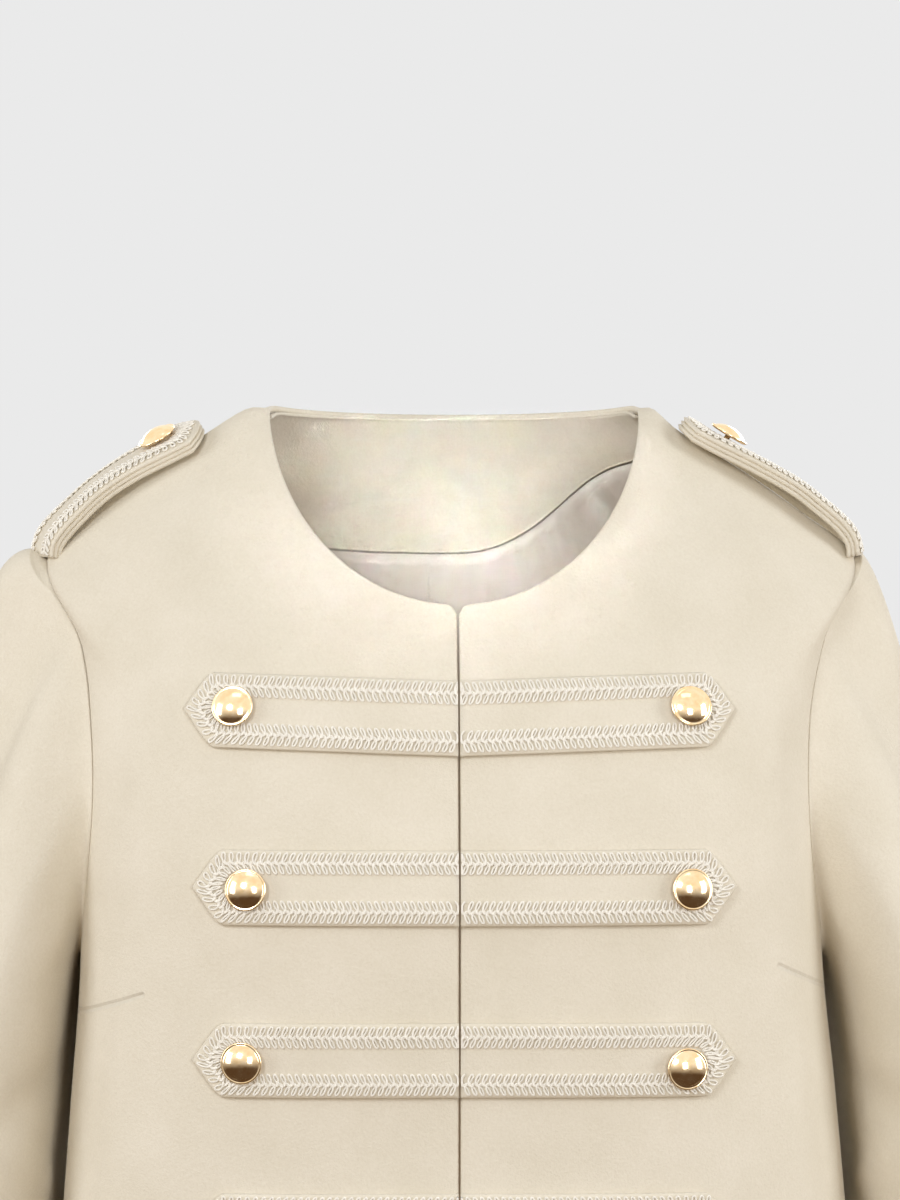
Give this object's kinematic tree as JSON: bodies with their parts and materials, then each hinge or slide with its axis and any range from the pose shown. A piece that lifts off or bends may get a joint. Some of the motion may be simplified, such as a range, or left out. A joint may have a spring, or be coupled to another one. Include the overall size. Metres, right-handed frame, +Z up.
{
  "type": "military-style braided jacket",
  "caption": "Short collarless wool jacket, open down the centre front, with braided and buttoned chest tabs, set-in sleeves and braided shoulder straps.",
  "frame": {"origin": "midway between the two side-neck points, on the plane of the shoulder seams, where a wearer's shoulders hold the jacket", "axes": "+Z up, +X towards the wearer's left, -Y towards the wearer's front"},
  "size_m": [0.579, 0.2202, 0.666],
  "materials": {
    "wool": "matt felted wool with a fine short nap, cream",
    "braid": "looped gimp braid with a slight silky sheen, off-white",
    "lining": "satin lining, warm off-white",
    "button": "polished pale gold, domed with a narrow rim"
  },
  "bodies": {
    "root": {"back": "wool", "back_neck_facing": "wool", "lining_back": "lining", "front_left": "wool", "front_right": "wool", "sleeve_left": "wool", "sleeve_right": "wool", "epaulette_left": "wool", "epaulette_right": "wool", "epaulette_braid_left": "braid", "epaulette_braid_right": "braid", "epaulette_button_left": "button", "epaulette_button_right": "button", "tab_left_1": "wool", "tab_left_2": "wool", "tab_left_3": "wool", "tab_left_4": "wool", "tab_right_1": "wool", "tab_right_2": "wool", "tab_right_3": "wool", "tab_right_4": "wool", "braid_left_1": "braid", "braid_left_2": "braid", "braid_left_3": "braid", "braid_left_4": "braid", "braid_right_1": "braid", "braid_right_2": "braid", "braid_right_3": "braid", "braid_right_4": "braid", "button_left_1": "button", "button_left_2": "button", "button_left_3": "button", "button_left_4": "button", "button_right_1": "button", "button_right_2": "button", "button_right_3": "button", "button_right_4": "button"}
  },
  "joints": []
}
